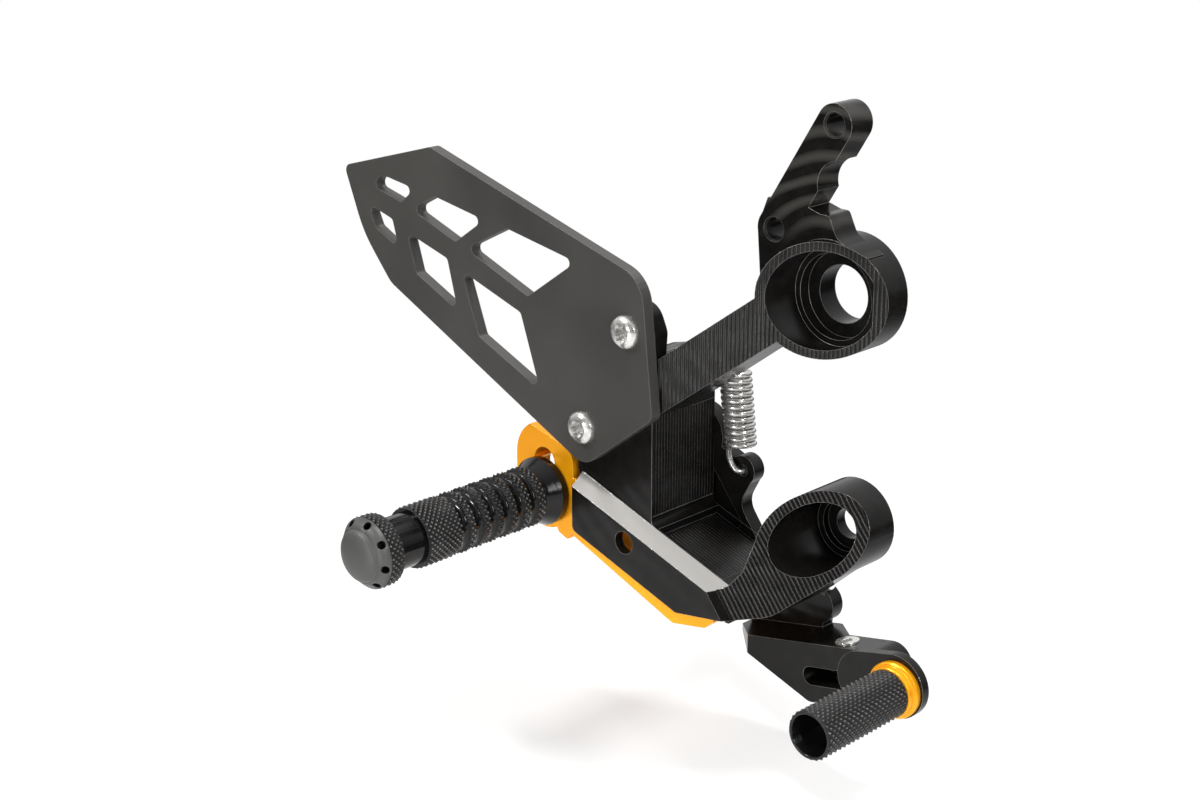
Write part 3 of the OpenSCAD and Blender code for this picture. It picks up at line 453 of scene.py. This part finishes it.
# The cap's rim is knurled too. Eight small holes are drilled square to its chamfer.
cap_in = -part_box("peg_end_cap")[1].y
cap_end = -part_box("peg_end_cap")[0].y
cap_r = (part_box("peg_end_cap")[1].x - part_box("peg_end_cap")[0].x) / 2
cap_knurl = knurled_black("cap_knurl", peg_x, peg_z, cap_r)
cap_rim = cap_in + 0.0055
cap_face = cap_rim + 0.003
face_r = cap_r - 0.003
cap_chamfer = 0.0007
cap_edge = 0.0003
recess_r = 0.0061
recess_deep = 0.0031
cap_profile = [(0, cap_in + recess_deep), (recess_r, cap_in + recess_deep), (recess_r, cap_in),
               (cap_r - cap_chamfer, cap_in), (cap_r, cap_in + cap_chamfer), (cap_r, cap_rim - cap_edge),
               (cap_r - cap_edge, cap_rim), (face_r, cap_face)]
for step in range(0, 9):
    a = math.radians(10 * step)
    cap_profile.append(((face_r - cap_edge) * math.cos(a),
                        cap_face + (cap_end - cap_face) * math.sin(a)))
cap_profile.append((0, cap_end))
cap_spans = [(cap_in + cap_chamfer, cap_rim - cap_edge)]
knurled_cap = turned_sleeve("knurled_cap", peg_x, peg_z, cap_profile, cap_spans, cap_r,
                            (cap_knurl, cap_satin), "adjuster", closed=False)
hole_count = 8
hole_r = 0.0013
hole_deep = 0.006
first_hole = 12
drills = bmesh.new()
for i in range(hole_count):
    turn = math.radians(i * 360 / hole_count + first_hole)
    outward = Vector((math.cos(turn), 0, -math.sin(turn)))
    lean = (outward + Vector((0, -1, 0))).normalized()
    place = Vector((peg_x, -(cap_rim + cap_face) / 2, peg_z)) + outward * (cap_r + face_r) / 2
    spot = Matrix.Translation(place) @ lean.to_track_quat("Z", "Y").to_matrix().to_4x4()
    bmesh.ops.create_cone(drills, cap_ends=True, segments=32, radius1=hole_r, radius2=hole_r,
                          depth=hole_deep, matrix=spot)
drill_mesh = bpy.data.meshes.new("cap_drills")
drills.to_mesh(drill_mesh)
drills.free()
drill = bpy.data.objects.new("cap_drills", drill_mesh)
bpy.context.scene.collection.objects.link(drill)
cut = knurled_cap.modifiers.new("holes", "BOOLEAN")
cut.object = drill
cut.operation = "DIFFERENCE"
bpy.context.view_layer.update()
holed = bpy.data.meshes.new_from_object(knurled_cap.evaluated_get(bpy.context.evaluated_depsgraph_get()))
knurled_cap.modifiers.clear()
knurled_cap.data = holed
bpy.data.objects.remove(drill)
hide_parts("peg_end_cap")


# Brake lever: milled plate that steps outboard to the toe arm, black anodised. It turns on
# a bronze bush and a shoulder bolt, with a washer under the bolt's head.

lever_black = black_milled("lever_black")
paint("brake_lever", lever_black)
bronze = plated_steel("bronze", (0.5, 0.32, 0.14), 0.4)
paint("lever_bushing", bronze)
paint("pivot_bolt", black_steel)
paint("pivot_washer", zinc_steel)
paint("stop_screw", black_steel)
paint("stop_nut", zinc_steel)
paint("slot_set_screw", zinc_steel)


# Return spring: close-wound spring wire, hooked into the lever's ear and round a pin on the
# back of the upper arm.

spring_steel = plated_steel("spring_steel", (0.66, 0.65, 0.63), 0.2)
ear_x, ear_z = -0.034, -0.0638
lever_face = 0.0117
pin_x, pin_z = -0.039, -0.024
coil_y = -0.0112
coil_low = Vector((-0.0354, coil_y, -0.0562))
coil_high = Vector((-0.0384, coil_y, -0.0315))
wire_r = 0.00094
coil_r = 0.0053 - wire_r
turns = 12
axis = coil_high - coil_low
side = axis.normalized().cross(Vector((0, 1, 0))).normalized()
wire = [Vector((ear_x + 0.0003, 0.0026 - lever_face, ear_z)),
        Vector((ear_x, 0.0002 - lever_face, ear_z - 0.0006)),
        Vector((ear_x - 0.0008, -0.0014 - lever_face, ear_z - 0.0004)),
        Vector((ear_x - 0.0026, -0.0017 - lever_face, ear_z + 0.001)),
        Vector((ear_x - 0.0045, -0.0016 - lever_face, ear_z + 0.0036)),
        Vector((ear_x - 0.0056, -0.0006 - lever_face, ear_z + 0.0057))]
per_turn = 24
for k in range(turns * per_turn + 1):
    a = 2 * math.pi * k / per_turn
    wire.append(coil_low + axis * (k / (turns * per_turn))
                + coil_r * (side * math.cos(a) + Vector((0, 1, 0)) * math.sin(a)))
wire += [Vector((coil_high.x + 0.0016, coil_y - 0.001, pin_z - 0.0046)),
         Vector((coil_high.x + 0.0018, coil_y, pin_z - 0.0034))]
hook_r = 0.00315
for a in range(-45, 211, 15):
    wire.append(Vector((pin_x + hook_r * math.cos(math.radians(a)), coil_y,
                        pin_z + hook_r * math.sin(math.radians(a)))))
spring_line = bpy.data.curves.new("spring_wire", "CURVE")
spring_line.dimensions = "3D"
spring_line.bevel_depth = wire_r
spring_line.bevel_resolution = 4
spring_line.use_fill_caps = True
spring_line.resolution_u = 3
strand = spring_line.splines.new("NURBS")
strand.points.add(len(wire) - 1)
for point, place in zip(strand.points, wire):
    point.co = (*place, 1)
strand.use_endpoint_u = True
strand.order_u = 4
drawn = bpy.data.objects.new("drawn_wire", spring_line)
bpy.context.scene.collection.objects.link(drawn)
bpy.context.view_layer.update()
wire_mesh = bpy.data.meshes.new_from_object(drawn.evaluated_get(bpy.context.evaluated_depsgraph_get()))
bpy.data.objects.remove(drawn)
wire_mesh.shade_smooth()
wire_mesh.materials.clear()
wire_mesh.materials.append(spring_steel)
spring_wire = bpy.data.objects.new("spring_wire", wire_mesh)
bpy.context.scene.collection.objects.link(spring_wire)
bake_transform(spring_wire)
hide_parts("return_spring")
paint("spring_pin", zinc_steel)


# Toe peg: a carrier plate slides along the lever's slot and holds a stepped orange collar
# and a knurled hollow peg on one long screw.

paint("toe_carrier", lever_black)
paint("carrier_screw", black_steel)
paint("carrier_washer", zinc_steel)
paint("toe_collar", orange_bar)
paint("toe_peg_screw", zinc_steel)
toe_x = (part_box("toe_peg")[0].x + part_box("toe_peg")[1].x) / 2
toe_z = (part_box("toe_peg")[0].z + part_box("toe_peg")[1].z) / 2
toe_in = -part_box("toe_peg")[1].y
toe_out = -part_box("toe_peg")[0].y
toe_r = (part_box("toe_peg")[1].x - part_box("toe_peg")[0].x) / 2
toe_knurl = knurled_black("toe_knurl", toe_x, toe_z, toe_r)
toe_bore = 0.0062
toe_screw_r = 0.00305
toe_floor = 0.005
toe_start = 0.0006
toe_end = 0.0008
toe_rim = 0.0007
bore_edge = 0.0003
toe_profile = [(toe_screw_r, toe_in), (toe_r - toe_start, toe_in), (toe_r, toe_in + toe_start),
               (toe_r, toe_out - toe_end), (toe_r - toe_rim, toe_out), (toe_bore + bore_edge, toe_out),
               (toe_bore, toe_out - bore_edge), (toe_bore, toe_in + toe_floor),
               (toe_screw_r, toe_in + toe_floor)]
toe_spans = [(toe_in + toe_start, toe_out - toe_end)]
knurled_toe_peg = turned_sleeve("knurled_toe_peg", toe_x, toe_z, toe_profile, toe_spans, toe_r,
                                (toe_knurl, peg_gloss), "toe_slider")
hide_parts("toe_peg")


# Studio: a white floor and a white room round it, five soft lamps, and a camera where the
# photograph was taken. The floor lies low enough for the toe peg when the brake is pressed.

low = Vector(cad_box[0])
high = Vector(cad_box[1])
middle = (low + high) / 2
floor_mesh = bpy.data.meshes.new("floor")
reach = 3.0
floor_drop = 0.021
floor_z = low.z - floor_drop
floor_mesh.from_pydata([(-reach, -reach, floor_z), (reach, -reach, floor_z), (reach, reach, floor_z),
                        (-reach, reach, floor_z)], [], [(0, 1, 2, 3)])
floor = bpy.data.objects.new("floor", floor_mesh)
bpy.context.scene.collection.objects.link(floor)
floor_white, floor_tree, floor_links, floor_shader = finish("floor_white", (0.88, 0.88, 0.88),
                                                            0.7, 0.0, 0.2)
ground = make(floor_tree, "ShaderNodeNewGeometry")
from_middle = make(floor_tree, "ShaderNodeVectorMath", operation="DISTANCE")
floor_links.new(ground.outputs["Position"], from_middle.inputs[0])
from_middle.inputs[1].default_value = (middle.x, middle.y, floor_z)
far = ramp(floor_tree, floor_links, from_middle.outputs["Value"], 0.08, 0.4, 0.45, 1.0)
path = make(floor_tree, "ShaderNodeLightPath")
looking = sums(floor_tree, floor_links, "MAXIMUM", path.outputs["Is Camera Ray"],
               sums(floor_tree, floor_links, "MAXIMUM", path.outputs["Is Glossy Ray"],
                    path.outputs["Is Transmission Ray"]))
off_middle = make(floor_tree, "ShaderNodeVectorMath", operation="SUBTRACT")
floor_links.new(ground.outputs["Position"], off_middle.inputs[0])
off_middle.inputs[1].default_value = (middle.x, middle.y, floor_z)
way = make(floor_tree, "ShaderNodeVectorMath", operation="NORMALIZE")
floor_links.new(off_middle.outputs["Vector"], way.inputs[0])
bright_side = make(floor_tree, "ShaderNodeVectorMath", operation="DOT_PRODUCT")
floor_links.new(way.outputs["Vector"], bright_side.inputs[0])
bright_side.inputs[1].default_value = (0.8, -0.6, 0)
# For reflections only, the floor glows as a painted reflector: bright near the middle and in a patch
# towards the front right, dim elsewhere.
near_floor = ramp(floor_tree, floor_links, from_middle.outputs["Value"], 0.1, 0.3, 1.0, 0.04)
lit_floor = ramp(floor_tree, floor_links, bright_side.outputs["Value"], 0.3, 0.7, 0.0, 1.0)
dim_room = sums(floor_tree, floor_links, "MAXIMUM", near_floor, lit_floor)
glow = make(floor_tree, "ShaderNodeEmission")
floor_links.new(sums(floor_tree, floor_links, "MAXIMUM", path.outputs["Is Camera Ray"], dim_room),
                glow.inputs["Strength"])
blend = make(floor_tree, "ShaderNodeMixShader")
floor_links.new(sums(floor_tree, floor_links, "MULTIPLY", far, looking), blend.inputs["Fac"])
floor_links.new(floor_shader.outputs["BSDF"], blend.inputs[1])
floor_links.new(glow.outputs["Emission"], blend.inputs[2])
floor_links.new(blend.outputs["Shader"], floor_tree["Material Output"].inputs["Surface"])
floor_mesh.materials.append(floor_white)

world = bpy.data.worlds.new("studio")
bpy.context.scene.world = world
world.use_nodes = True
sky = world.node_tree
back = sky.nodes["Background"]
back.inputs["Color"].default_value = (1, 1, 1, 1)
rays = make(sky.nodes, "ShaderNodeLightPath")
where = make(sky.nodes, "ShaderNodeTexCoord")
toward = make(sky.nodes, "ShaderNodeVectorMath", operation="DOT_PRODUCT")
sky.links.new(where.outputs["Generated"], toward.inputs[0])
toward.inputs[1].default_value = (-0.35, 0.55, 0.76)
sweep = ramp(sky.nodes, sky.links, toward.outputs["Value"], -0.15, 0.75, 0.06, 1.0)
mirrored = sums(sky.nodes, sky.links, "MAXIMUM", rays.outputs["Is Glossy Ray"],
                rays.outputs["Is Transmission Ray"])
room = sums(sky.nodes, sky.links, "MULTIPLY", mirrored, sweep)
plain = sums(sky.nodes, sky.links, "MULTIPLY", sums(sky.nodes, sky.links, "SUBTRACT", 1.0, mirrored), 0.6)
level = sums(sky.nodes, sky.links, "MAXIMUM", rays.outputs["Is Camera Ray"],
             sums(sky.nodes, sky.links, "ADD", room, plain))
sky.links.new(level, back.inputs["Strength"])


def soft_lamp(name, place, size, power):
    """A soft box that faces the middle of the object."""
    lamp = bpy.data.lights.new(name, "AREA")
    lamp.shape = "RECTANGLE"
    lamp.size = size[0]
    lamp.size_y = size[1]
    lamp.energy = power
    stand = bpy.data.objects.new(name, lamp)
    stand.location = place
    stand.rotation_euler = (middle - Vector(place)).to_track_quat("-Z", "Y").to_euler()
    bpy.context.scene.collection.objects.link(stand)


soft_lamp("key_lamp", (-0.5, -0.7, 0.8), (0.3, 0.1), 8)
soft_lamp("front_lamp", (0.02, -1.15, 0.16), (0.3, 0.12), 2)
soft_lamp("low_lamp", (-0.01, -0.36, -0.11), (0.12, 0.03), 0.12)
soft_lamp("side_lamp", (0.85, -0.3, 0.35), (0.07, 0.35), 4)
soft_lamp("top_lamp", (0.1, 0.3, 0.9), (0.35, 0.1), 7)

lens = bpy.data.cameras.new("camera")
lens.lens = 62
lens.sensor_width = 36
camera = bpy.data.objects.new("camera", lens)
camera.location = (0.3607, -0.4864, 0.1659)
looked_at = Vector((-0.062, -0.048, -0.038))
camera.rotation_euler = (looked_at - camera.location).to_track_quat("-Z", "Y").to_euler()
bpy.context.scene.collection.objects.link(camera)
bpy.context.scene.camera = camera
bpy.context.scene.view_settings.view_transform = "Standard"
